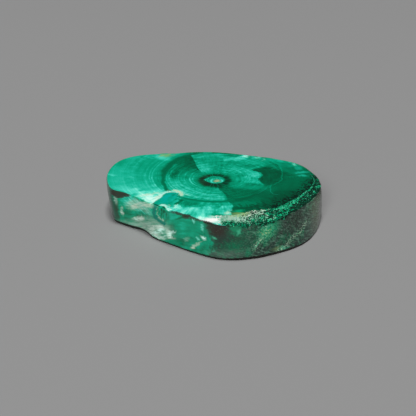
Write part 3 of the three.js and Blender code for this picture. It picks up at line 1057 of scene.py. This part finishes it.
# Patches of the wall: tone, distance along the wall, height, half length, half height, turn, softness
WALL_TONES = (
    (0.735, 58.8, 7.8, 5.6, 1.9, 3, 0.5),
    (0.77, 55.2, 8.5, 1.8, 0.9, 15, 0.7),
    (0.66, 63.2, 6.9, 2.0, 0.9, 5, 0.7),
    (0.52, 56.0, 3.8, 1.4, 2.0, 0, 0.7),
    (0.50, 63.0, 5.8, 2.4, 0.4, 12, 0.7),
    (0.575, 79.0, 6.6, 5.0, 3.6, 0, 0.5),
    (0.67, 75.6, 7.0, 1.0, 1.4, 20, 0.8),
    (0.50, 73.5, 1.8, 3.8, 1.3, 5, 0.7),
    (0.66, 72.0, 8.4, 2.2, 1.2, 10, 0.7),
    (0.42, 75.0, 8.9, 2.2, 0.25, 28, 0.7),
    (0.50, 69.0, 8.6, 1.6, 1.0, 20, 0.8),
    (0.42, 68.2, 7.9, 0.16, 0.7, -12, 0.7),
)
# The same with a colour and its amount:
WALL_PATCHES = (
    ("slate", 0.9, 45.0, 4.5, 6.4, 8.0, 0, 0.3),
    ("ash", 0.35, 45.5, 4.0, 3.6, 9.0, 0, 0.5),
    ("umber", 0.6, 51.5, 3.8, 0.7, 3.4, 0, 0.8),
    ("chalk", 0.40, 51.4, 7.0, 0.5, 1.1, 0, 0.7),
    ("chalk", 0.75, 53.3, 4.0, 0.5, 0.7, 0, 0.6),
    ("chalk", 0.35, 53.5, 5.4, 0.4, 0.4, 0, 0.7),
    ("sand", 0.5, 58.2, 7.4, 2.8, 1.2, 14, 0.7),
    ("sand", 0.7, 57.6, 7.0, 1.1, 0.6, 20, 0.7),
    ("sand", 0.8, 62.9, 9.0, 2.6, 0.55, 10, 0.9),
    ("ash", 0.6, 61.5, 2.4, 8.0, 2.1, 20, 0.6),
    ("ash", 0.6, 67.6, 5.1, 4.0, 0.9, 0, 0.6),
    ("ash", 0.4, 56.0, 0.9, 6.0, 0.7, 4, 0.6),
    ("chalk", 0.24, 67.0, 2.6, 5.0, 1.9, 12, 0.5),
    ("chalk", 0.26, 61.8, 2.2, 4.5, 1.4, 15, 0.7),
    ("chalk", 0.30, 61.5, 7.8, 2.6, 1.0, -15, 0.8),
    ("milk", 0.9, 66.4, 2.2, 2.2, 0.24, 28, 0.6),
    ("milk", 0.8, 66.8, 1.0, 2.2, 0.20, 4, 0.7),
    ("milk", 0.7, 67.8, 3.2, 1.2, 0.26, -20, 0.6),
    ("milk", 0.7, 64.6, 1.4, 1.6, 0.20, 24, 0.6),
    ("milk", 0.7, 69.6, 2.2, 1.4, 0.22, 32, 0.6),
    ("chalk", 0.85, 59.4, 3.8, 2.0, 0.6, 24, 0.6),
    ("milk", 0.6, 58.1, 3.2, 0.4, 0.3, 10, 0.6),
    ("chalk", 0.8, 65.2, 2.9, 1.8, 0.5, 26, 0.6),
    ("chalk", 0.85, 68.0, 4.2, 1.8, 0.5, 5, 0.6),
    ("milk", 0.9, 68.3, 3.6, 1.1, 0.3, 14, 0.6),
    ("chalk", 0.85, 70.7, 3.1, 0.7, 1.2, 8, 0.6),
    ("milk", 0.7, 70.9, 2.9, 0.3, 0.9, 12, 0.6),
    ("milk", 0.8, 72.1, 3.9, 1.3, 0.28, 30, 0.6),
    ("chalk", 0.7, 71.8, 2.1, 1.2, 0.28, 20, 0.7),
    ("chalk", 0.8, 65.9, 1.6, 1.2, 0.4, 12, 0.7),
    ("chalk", 0.65, 63.2, 0.8, 2.0, 0.5, 24, 0.7),
    ("chalk", 0.5, 67.8, 1.3, 1.6, 0.7, 10, 0.8),
    ("chalk", 0.2, 76.8, 3.4, 0.9, 0.4, 40, 0.8),
    ("mint", 0.7, 79.0, 9.1, 0.4, 0.5, 0, 0.7),
    ("mint", 0.6, 81.8, 8.0, 0.35, 0.9, 0, 0.7),
    ("milk", 0.9, 82.0, 5.3, 0.9, 0.40, -10, 0.6),
    ("mint", 0.8, 80.4, 4.7, 0.4, 0.3, 0, 0.7),
    ("sand", 0.6, 79.9, 2.6, 1.8, 0.4, 42, 0.7),
    ("sand", 0.5, 79.0, 1.5, 0.5, 0.3, 20, 0.7),
    ("slate", 0.7, 86.8, 7.8, 3.4, 2.6, -14, 0.7),
    ("umber", 0.85, 85.7, 8.3, 2.5, 1.7, -14, 0.7),
    ("umber", 0.6, 83.2, 9.6, 1.4, 0.6, 0, 0.6),
    ("umber", 0.7, 76.6, 9.5, 1.1, 0.5, 15, 0.6),
    ("crystal", 0.6, 85.2, 5.9, 0.5, 0.3, 0, 0.7),
    ("green", 0.45, 89.5, 3.8, 2.6, 1.4, 10, 0.8),
    ("green", 0.35, 93.4, 5.6, 2.6, 4.0, -10, 0.8),
    ("emerald", 0.55, 90.6, 8.8, 1.3, 1.2, -30, 0.8),
    ("crystal", 0.5, 91.6, 7.8, 0.4, 0.7, -20, 0.8),
    ("emerald", 0.8, 101.0, 8.2, 2.4, 2.2, 20, 0.8),
    ("emerald", 0.7, 98.6, 6.2, 1.8, 2.2, -30, 0.8),
    ("crystal", 0.75, 96.6, 4.0, 0.25, 1.1, -38, 0.8),
    ("straw", 0.3, 102.4, 1.5, 1.4, 0.6, 0, 0.8),
    ("ash", 0.22, 88.5, 1.6, 4.8, 1.2, 5, 0.8),
    ("slate", 0.6, 107.0, 7.6, 4.0, 2.2, 0, 0.7),
    ("umber", 0.4, 110.0, 7.4, 5.0, 2.4, 0, 0.8),
    ("ash", 0.20, 121.0, 4.0, 7.5, 7.0, 0, 0.7),
    ("tan", 0.16, 123.5, 4.0, 6.0, 7.0, 0, 0.7),
    ("crystal", 0.6, 104.3, 1.2, 1.3, 0.6, -10, 0.8),
    ("emerald", 0.4, 94.0, 1.8, 0.8, 1.2, 0, 0.8),
)
# The pale ones among them, which threads of growth break up
THREADED = ("chalk", "sand", "milk", "ash")
# And round the back, which lies in plainer layers
BACK_PATCHES = (
    ("chalk", 0.45, 30.0, 6.4, 4.5, 0.45, 8, 0.8),
    ("sea_green", 0.6, 26.0, 3.4, 7.0, 1.5, 5, 0.7),
    ("chalk", 0.5, 36.5, 2.4, 2.6, 0.35, -12, 0.8),
    ("umber", 0.6, 13.0, 8.9, 6.0, 0.9, 4, 0.7),
    ("teal", 0.5, 18.0, 6.6, 3.6, 0.5, -6, 0.8),
    ("sand", 0.5, 8.5, 3.6, 2.4, 0.35, 10, 0.8),
    ("deep_green", 0.6, 3.0, 2.2, 6.0, 1.2, 0, 0.7),
    ("sea_green", 0.6, 160.0, 6.6, 6.0, 1.6, -5, 0.7),
    ("chalk", 0.5, 163.5, 4.2, 3.0, 0.35, 8, 0.8),
    ("teal", 0.5, 152.0, 3.2, 4.0, 0.6, -10, 0.8),
    ("sand", 0.45, 147.0, 6.8, 2.6, 0.4, -14, 0.8),
    ("emerald", 0.45, 139.0, 7.6, 4.0, 1.4, -10, 0.8),
    ("ash", 0.4, 134.0, 2.8, 4.5, 0.9, 10, 0.8),
)
# The brown patch under the edge on the left, as distance along the wall and height
TOP_BROWN_PATCH = ((44, 8.0), (50, 8.3), (52.5, 7.9), (54.4, 8.8), (56.6, 9.7), (58.5, 10.6))
# How high the painted black contact shadow along the foot reaches, by distance along the wall
FOOT_SHADE = (
    (0, 0.3), (44, 0.3), (50, 0.6), (58, 0.85), (63, 0.7), (70, 0.5), (88, 0.6), (98, 0.8), (110, 0.6),
    (124, 0.3),
)
# The wall's length, past which its patterns start again at the back
WALL_END = 171.8
# How high the growth lines run along the wall
WALL_GROWTH = ((20, 13), (52, 7.4), (66, 3.0), (75, 0.8), (84, 0.4), (92, 2.2), (108, 8.5), (150, 24))
# The fold's curl, where it runs down the wall: its dark band and the pale seam inside it
CURL_BAND = ((66.3, 10.2), (65.8, 8.8), (65.6, 7.6), (66.1, 6.7), (67.4, 6.1), (69.4, 5.7))
CURL_SEAM = ((66.9, 9.0), (67.0, 7.7), (67.7, 6.9), (68.9, 6.5))
# Light specks in the grey half are strung along these lines
SPECK_STRINGS = (
    ((95.8, 3.0), (97.2, 4.9), (99.2, 7.0), (99.0, 8.6)),
    ((102.5, 0.9), (105.0, 1.1), (106.4, 2.7), (109.0, 3.6), (111.4, 4.2), (114.0, 5.6)),
)


class GroundWall(Stone):
    """The ground and polished wall: green growth crossed by pale veins and brown and grey patches."""

    def __init__(self, name, colours):
        super().__init__(name, colours)
        self.along, self.up = self.wrap()
        self.level = self.up + self.curve(self.along, WALL_GROWTH)
        # The growth fades out at both ends, so that it joins at the back
        joined = self.smooth(self.along, 0.5, 8.0) * self.smooth(self.along, WALL_END - 0.5, WALL_END - 8.0)
        self.streaks = self.growth(0.3, 1.0, 2.0, 3.0, 0.5) * joined
        self.threads = self.growth(0.4, 2.2, 5.0, 3.0, 0.6) * joined
        self.clouds = self.noise(self.at, 0.28, 3.0, 0.6)
        self.mottle = self.noise(self.at, 0.9, 4.0, 0.7)
        self.grain = self.noise(self.at, 2.4, 3.0, 0.7)
        layers = self.place(self.x * 0.12, self.y * 0.12, self.z * 1.5 + self.clouds * 1.5)
        self.strata = self.noise(layers, 1.0, 4.0, 0.6)
        self.flecks = self.noise(self.place(self.along * 1.6, self.up * 0.5, 3.0), 1.0, 3.0, 0.7)
        # Places for the patches' ragged outlines
        self.warped = self.wobble(self.place(self.along, self.up), 1.6, 0.5)
        fray = self.place(self.threads * 0.3 + self.streaks * 0.4, self.mottle * 0.3)
        self.frayed = self.vector("ADD", self.warped, fray)
        self.torn = self.wobble(self.frayed, 1.0, 0.3, 3)

    def growth(self, spread, rate, shift, detail, roughness):
        """Noise drawn out along the growth lines."""
        place = self.place(self.along * spread, self.level * rate, shift)
        return self.noise(place, 1.0, detail, roughness)

    def growth_tone(self):
        """Tone of the green growth, with hair lines under the edge and layers round the back."""
        tone = self.patches(self.warped, 0.565 + self.clouds * 0.14, WALL_TONES)
        tone = tone + self.streaks * 0.10 + self.threads * 0.04
        hairs = self.place(self.along * 0.35, (self.up + self.along * 0.42) * 2.6, 9.0)
        hairs = self.noise(hairs, 1.0, 2.0, 0.6)
        tone = tone + hairs * 0.22 * self.patch(self.warped, (59.5, 7.8), (5.5, 2.2), -12, 0.6)
        behind = self.greatest(self.smooth(self.along, 46, 38), self.smooth(self.along, 126, 140))
        tone = tone + behind * (self.strata * 0.34 + self.mottle * 0.08)
        # Inside the fold's curl it is flecked
        inner = self.patch(self.warped, (69.0, 8.0), (2.0, 2.2), 10, 0.5)
        flecked = 0.54 + self.flecks * (0.15 + 0.15 * self.smooth(self.up, 7.0, 8.5))
        return self.paint(tone, flecked, inner * 0.9)

    def grey_half(self):
        """Mask of the grey half, on the right."""
        bulge = self.smooth(self.up, 6.0, 3.6) * self.smooth(self.up, 1.6, 2.8)
        grey = self.smooth(self.along + self.mottle * 1.8 - bulge * 0.9, 82.9, 85.1)
        end = self.along + self.clouds * 12 + self.mottle * 4
        return grey * self.smooth(end, WALL_END - 6.0, WALL_END - 34.0)

    def grey_colour(self):
        """Dark grey green, browner in places."""
        dim = self.mix(self.smooth(self.clouds + self.streaks, -0.1, 0.7) * 0.35, "slate", "umber")
        greener = self.smooth(self.mottle + self.threads * 0.4 + self.clouds, -0.25, 0.7)
        dim = self.mix(greener * 0.66, dim, "green")
        ashen = self.smooth(self.threads + self.mottle * 0.3, 0.10, 0.50) * self.smooth(self.along, 91, 98)
        return self.mix(ashen * 0.25, dim, "ash")

    def curl_colour(self, colour):
        """Lays on the fold's curl: a dark band, and a pale seam inside it."""
        band = self.smooth(self.stroke(self.warped, CURL_BAND) + self.grain * 0.3, 0.85, 0.30)
        colour = self.mix(band * 0.92, colour, self.mix(0.35, "deep_green", "blue_teal"))
        seam = self.smooth(self.stroke(self.frayed, CURL_SEAM) + self.grain * 0.3, 0.45, 0.05)
        return self.mix(seam * self.smooth(self.flecks, -0.3, 0.2) * 0.45, colour, "sand")

    def speck_colour(self, colour, grey):
        """Lays light specks on the grey half, strung along two lines, and grains and gaps between them."""
        strings = [self.smooth(self.stroke(self.warped, line), 1.2, 0.1) for line in SPECK_STRINGS]
        strings = self.greatest(*strings)
        dashes = self.growth(1.7, 3.4, 8.0, 2.0, 0.7)
        light = self.mix(0.4, "crystal", "straw")
        light = self.mix(self.smooth(self.grain, -0.3, 0.3), light, "sand")
        specks = self.smooth(dashes + strings * 0.30, 0.38, 0.56) * (0.06 + strings * 0.80) * grey
        colour = self.mix(specks, colour, light)
        # A blotch of lighter grains below the crust
        blotch = self.patch(self.torn, (99.2, 7.0), (2.0, 2.2), -30, 0.8)
        blotch = blotch * self.smooth(self.grain + dashes * 0.6, -0.05, 0.30)
        yellow = self.mix(self.smooth(self.mottle, -0.1, 0.4) * 0.8, "crystal", "straw")
        colour = self.mix(blotch * 0.72, colour, yellow)
        grains = self.smooth(self.grain + self.threads * 0.3, 0.12, 0.45) * grey
        colour = self.mix(grains * self.smooth(self.along, 89, 97) * 0.22, colour, "ash")
        gaps = self.smooth(dashes, -0.12, -0.40) * grey * self.smooth(self.along, 90, 96)
        return self.mix(gaps * 0.5, colour, "black_green")

    def brown_and_painted_shade_colour(self, colour):
        """Lays a brown patch under the edge on the left, painted shade in a dark band just under the front
        edge, and a black painted contact shadow along the foot.
        """
        # A brown patch under the edge on the left
        stain = self.smooth(self.up + self.threads * 0.5 - self.curve(self.along, TOP_BROWN_PATCH), -0.25, 0.2)
        stain = stain * self.smooth(self.along, 57, 55.5) * self.smooth(self.along + self.mottle, 48.4, 50.0)
        # A dark band just under the front edge, brown and then near black: painted shade
        edge = self.smooth(self.up + self.grain * 0.4, 9.3, 9.6)
        edge = edge * self.smooth(self.along, 70, 73) * self.smooth(self.along, 96, 93)
        colour = self.mix(self.greatest(stain * 0.92, edge * 0.85), colour, "umber")
        colour = self.mix(edge * self.smooth(self.along, 81, 84) * 0.8, colour, "black_brown")
        # Black along the foot: painted contact shadow
        foot = self.smooth(self.up + self.grain * 0.12 - self.curve(self.along, FOOT_SHADE), 0.10, -0.12)
        return self.mix(foot * 0.97, colour, "black_brown")

    def build(self):
        """The whole finish."""
        colour = self.green_by_tone(self.growth_tone())
        grey = self.grey_half()
        colour = self.mix(grey, colour, self.grey_colour())
        colour = self.spots(self.torn, colour, WALL_PATCHES, 0.9 + self.threads * 0.8, THREADED)
        colour = self.spots(self.frayed, colour, BACK_PATCHES, 0.9 + self.strata * 1.2)
        colour = self.curl_colour(colour)
        colour = self.speck_colour(colour, grey)
        colour = self.brown_and_painted_shade_colour(colour)
        relief = self.mottle + self.grain * 0.5
        self.shade(Base_Color=colour, Roughness=0.2, IOR=1.4, Normal=self.bump(relief, 0.012 * MM, 0.5))
        return self.material


# Along the crust, by how far right of the eye: how pitted it is, and how much of it is whitish
CRUST_PITS = (
    (-2, -0.5), (4, -0.4), (8, 0.34), (13, 0.46), (15.5, 0.36), (18, 0.52), (21, 0.68), (29, 0.56),
)
CRUST_WHITE = ((-2, 1.5), (4, 1.2), (8, 0.50), (12, 0.18), (15, -0.05), (18, -0.45), (29, -0.5))


class CrystalCrust(Stone):
    """The shelf's crust: grey green satin on the left, then grains, green lumps, and pits behind a rim."""

    def __init__(self, name, colours):
        super().__init__(name, colours)
        self.shelf = self.mark("shelf")
        self.grit = self.noise(self.at, 2.6, 2.0, 0.7)
        self.coarse = self.noise(self.at, 0.8, 2.0, 0.6)
        self.ragged_x = self.x + self.coarse * 1.6
        self.tint, hue, self.glint = self.cells(self.wobble(self.at, 1.5, 0.8), 1.5)
        self.spark, hole, _ = self.cells(self.at, 3.2)
        # The grains are finest on the left
        fine = self.smooth(self.x, 12.5, 9.5)
        self.speck = self.paint(self.tint, self.spark, fine)
        self.hollow = self.paint(hue, hole, fine)
        # Low down along the shelf's outer edge
        low = self.shelf + self.grit * 0.2 - self.smooth(self.x, 9.0, 3.0) * 0.26
        self.low = self.smooth(low, 0.34, 0.14) * self.smooth(self.x, 0.6, 2.4)

    def lump_colour(self):
        """Green lumps, duller to the right."""
        lumps = self.mix(self.smooth(self.tint + self.grit * 0.5, 0.2, 0.9), "green", "emerald")
        lumps = self.mix(self.smooth(self.spark + self.grit * 0.3, 0.76, 0.90) * 0.6, lumps, "crystal")
        dull = self.mix(self.smooth(self.tint + self.grit * 0.4, 0.45, 0.95), "deep_green", "emerald")
        dull = self.mix(self.smooth(self.spark + self.grit * 0.3, 0.80, 0.92) * 0.8, dull, "crystal")
        return self.mix(self.smooth(self.ragged_x, 16.0, 19.0), lumps, dull)

    def satin_colour(self, colour):
        """Lays whitish satin and grains on the left, but not along the outer edge, and a painted white glare
        highlight at the satin's left end.
        """
        brushed = self.place(self.x * 1.6 + self.y * 0.2, self.y * 0.4, self.z * 0.4)
        brushed = self.noise(brushed, 1.0, 3.0, 0.6)
        satin = self.mix(self.smooth(brushed + self.grit * 0.3, -0.2, 0.6) * 0.22, "ash", "chalk")
        satin = self.mix(self.smooth(brushed - self.grit * 0.3, 0.0, -0.5) * 0.6, satin, "emerald")
        # Painted highlight: the facet's white glare at the satin's left end
        satin = self.mix(self.smooth(self.ragged_x, 2.0, -0.4) * 0.8, satin, "quartz")
        cream = self.smooth(self.x, 6.0, 9.0) * self.smooth(self.shelf, 0.55, 0.85) * 0.7
        satin = self.mix(cream * self.smooth(self.spark + self.grit * 0.3, 0.2, 0.7), satin, "sand")
        share = self.curve(self.ragged_x, CRUST_WHITE) - self.low * 1.5
        share = share + self.smooth(self.shelf, 0.5, 0.9) * self.smooth(self.x, 13.5, 12.0) * 0.35
        white = self.smooth(self.speck + self.grit * 0.5 + share, 0.80, 1.10)
        return self.mix(white * 0.92, colour, satin)

    def pits(self):
        """Mask of the black pits between grains, which also follows the relief's depth as painted shade in
        the hollows.
        """
        deep = 0.2 + self.smooth(self.x, 8.0, 4.0) * 0.75
        share = self.curve(self.ragged_x, CRUST_PITS) + self.low * deep
        # Deeper relief makes the pits blacker: painted shade in the hollows
        sunk = self.hollow + self.grit * 0.5 - share - self.mark("relief") * share * 0.6
        return self.smooth(sunk, 0.10, -0.10)

    def rim_colour(self, colour, pits):
        """Lays on yellow where the polish gives way, and a bright broken rim farther right."""
        inner = self.smooth(abs(self.shelf + self.grit * 0.25 - 0.95) / 0.10, 1.3, 0.5)
        inner = inner * self.smooth(self.x, 9.5, 7.5) * self.smooth(self.x, 3.0, 5.0)
        colour = self.mix(inner * 0.6, colour, "straw")
        place = self.shelf + self.grit * 0.12
        rims = self.least(
            abs(place + self.coarse * 0.10 - 0.80) / 0.05,
            abs(place - self.coarse * 0.16 - 0.66) / 0.05 + self.smooth(self.x, 21.0, 24.5) * 2,
        )
        inside = self.smooth(place, 0.84, 0.90) * self.smooth(self.x, 13.5, 16.0)
        colour = self.mix(inside * 0.9, colour, self.mix(pits, "deep_green", "black_green"))
        rim = self.smooth(rims, 1.3, 0.5) * self.smooth(self.x, 14.0, 16.5)
        rim = rim * self.smooth(self.glint + self.grit * 1.2, -0.1, 0.2)
        line = self.mix(self.smooth(self.spark + self.grit * 0.4, 0.5, 1.0), "emerald", "crystal")
        return self.mix(rim * 0.9, colour, line)

    def build(self):
        """The whole finish."""
        colour = self.satin_colour(self.lump_colour())
        pits = self.pits()
        # Black pits: the crust's dark green, partly painted shade in the relief's hollows
        colour = self.mix(pits * 0.92, colour, "black_green")
        colour = self.rim_colour(colour, pits)
        relief = self.bump(self.grit, 0.05 * MM, 0.6)
        self.shade(Base_Color=colour, Roughness=0.45, Specular_IOR_Level=0.12, Normal=relief)
        return self.material


class SawnUnderside(Stone):
    """The sawn face below and its rounded foot: the same rings, dull and paler, with a painted black contact
    shadow on the foot.
    """

    def build(self):
        """The whole finish."""
        x, y, _ = self.separate(self.wobble(self.place(self.x, self.y), 3.0, 0.8))
        ring = self.ring_radius(x, y)
        bands = self.noise(self.place(ring * 1.5, 0.0), 1.0, 3.0)
        broad = self.noise(self.place(ring * 0.4, 3.0))
        clouds = self.noise(self.at, 0.3, 3.0, 0.6)
        grit = self.noise(self.at, 2.4, 3.0, 0.7)
        saw = self.noise(self.place(self.x * 0.05, self.y * 2.2, 1.0))
        tone = 0.58 + bands * 0.12 + broad * 0.16 + clouds * 0.12 + grit * 0.05
        eye = self.smooth(ring, 5.0, 3.4) * self.smooth(ring, 1.2, 2.4)
        tone = self.paint(tone, 0.30, eye * 0.8)
        colour = self.mix(0.25 + saw * 0.2, self.green_by_tone(tone), "ash")
        # The rounded foot above the sawn face is black: painted contact shadow
        colour = self.mix(self.smooth(self.z + grit * 0.03, 0.02, 0.08), colour, "black_brown")
        relief = self.bump(saw, 0.01 * MM, 0.5)
        self.shade(Base_Color=colour, Roughness=0.65, Specular_IOR_Level=0.1, Normal=relief)
        return self.material


# What builds each finish
MAKERS = {
    "polished_face": PolishedFace,
    "ground_wall": GroundWall,
    "sawn_underside": SawnUnderside,
    "crystal_crust": CrystalCrust,
}


class MALACHITE_OT_slab(bpy.types.Operator):
    """Models the stone and finishes its polished face, wall, crust and sawn underside"""

    bl_idname = "malachite.slab"
    bl_label = "Stone Slab"

    def execute(self, context):
        settings = context.scene.malachite_slice
        shape = SlabShape(settings.sizes)
        bm = wrap_sheet(shape)
        close_ends(bm)
        loose = [edge for edge in bm.edges if not edge.is_manifold]
        if loose:
            raise RuntimeError(f"the slab has {len(loose)} open edges")
        for face in bm.faces:
            face.smooth = True
        materials = [MAKERS[name](name, settings.colours).build() for name in FINISHES]
        slab = finish_object("stone_slab", bm, materials)
        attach(slab, "root")
        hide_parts(NODE)
        return {"FINISHED"}


class MALACHITE_OT_stage(bpy.types.Operator):
    """Adds the floor, the soft lights and the camera"""

    bl_idname = "malachite.stage"
    bl_label = "Floor, Lights and Camera"

    # What the camera looks at, and the sizes of the rest of the stage in metres
    AIM = Vector((-1.685, 6.775, 0)) * MM
    FLOOR_SIZE = 4.0
    # The lamps: name, place, size and power in watts. The sheen shows in the polish and lights nothing else,
    # and the others aren't seen in the polish.
    LAMPS = (
        ("overhead", (0, 0, 4.5), 1.0, 153),
        ("front", (-0.9, -4.2, 2.7), 1.8, 216),
        ("sheen", (0, 0, 4.4), 2.4, 26),
    )
    WORLD_GREY = 0.01
    SENSOR_WIDTH = 36

    def execute(self, context):
        settings = context.scene.malachite_slice.studio
        self.add_floor(settings)
        for lamp in self.LAMPS:
            self.add_light(*lamp)
        self.add_camera(context, settings)
        world = bpy.data.worlds.new("studio")
        world.use_nodes = True
        grey = (self.WORLD_GREY, self.WORLD_GREY, self.WORLD_GREY, 1)
        world.node_tree.nodes["Background"].inputs["Color"].default_value = grey
        context.scene.world = world
        context.scene.view_settings.view_transform = "Standard"
        return {"FINISHED"}

    def add_floor(self, settings):
        """A plain floor under the stone."""
        bm = bmesh.new()
        bmesh.ops.create_grid(bm, x_segments=1, y_segments=1, size=self.FLOOR_SIZE / 2)
        finish = Finish("floor")
        finish.shade(Base_Color=(*settings.floor_colour, 1), Roughness=0.9)
        floor = finish_object("floor", bm, [finish.material])

    def add_light(self, name, place, size, power):
        """A soft square light that faces the stone."""
        lamp = bpy.data.lights.new(name, "AREA")
        lamp.size = size
        lamp.energy = power
        light = bpy.data.objects.new(name, lamp)
        light.location = place
        light.rotation_euler = (-Vector(place)).to_track_quat("-Z", "Y").to_euler()
        light.visible_glossy = name == "sheen"
        light.visible_diffuse = name != "sheen"
        bpy.context.scene.collection.objects.link(light)

    def add_camera(self, context, settings):
        """The camera, in front of the stone and above it."""
        data = bpy.data.cameras.new("camera")
        data.lens = settings.camera_lens
        data.sensor_width = self.SENSOR_WIDTH
        camera = bpy.data.objects.new("camera", data)
        rise = settings.camera_elevation
        back = Vector((0, -math.cos(rise), math.sin(rise)))
        camera.location = self.AIM + back * settings.camera_distance
        camera.rotation_euler = (-back).to_track_quat("-Z", "Y").to_euler()
        context.scene.collection.objects.link(camera)
        context.scene.camera = camera


class MalachiteSlice(bpy.types.PropertyGroup):
    """All the settings of the stone and its studio."""

    sizes: bpy.props.PointerProperty(type=StoneSizes)
    colours: bpy.props.PointerProperty(type=StoneColours)
    studio: bpy.props.PointerProperty(type=StudioSettings)


class MALACHITE_PT_panel(bpy.types.Panel):
    """The slice's pieces and settings."""

    bl_idname = "MALACHITE_PT_panel"
    bl_label = "Malachite Slice"
    bl_space_type = "VIEW_3D"
    bl_region_type = "UI"
    bl_category = "Malachite"

    def draw(self, context):
        layout = self.layout
        settings = context.scene.malachite_slice
        for operator in OPERATORS:
            layout.operator(operator.bl_idname)
        for group in (settings.sizes, settings.colours, settings.studio):
            box = layout.box()
            for name in group.__annotations__:
                box.prop(group, name)


OPERATORS = (MALACHITE_OT_slab, MALACHITE_OT_stage)
CLASSES = (StoneSizes, StoneColours, StudioSettings, MalachiteSlice, *OPERATORS, MALACHITE_PT_panel)


def register():
    """Registers the settings, the operators and the panel."""
    for cls in CLASSES:
        bpy.utils.register_class(cls)
    bpy.types.Scene.malachite_slice = bpy.props.PointerProperty(type=MalachiteSlice)


def unregister():
    """Takes them out again."""
    del bpy.types.Scene.malachite_slice
    for cls in reversed(CLASSES):
        bpy.utils.unregister_class(cls)


def main():
    """Builds the whole scene."""
    register()
    bpy.ops.malachite.slab()
    bpy.ops.malachite.stage()


if __name__ == "__main__":
    main()
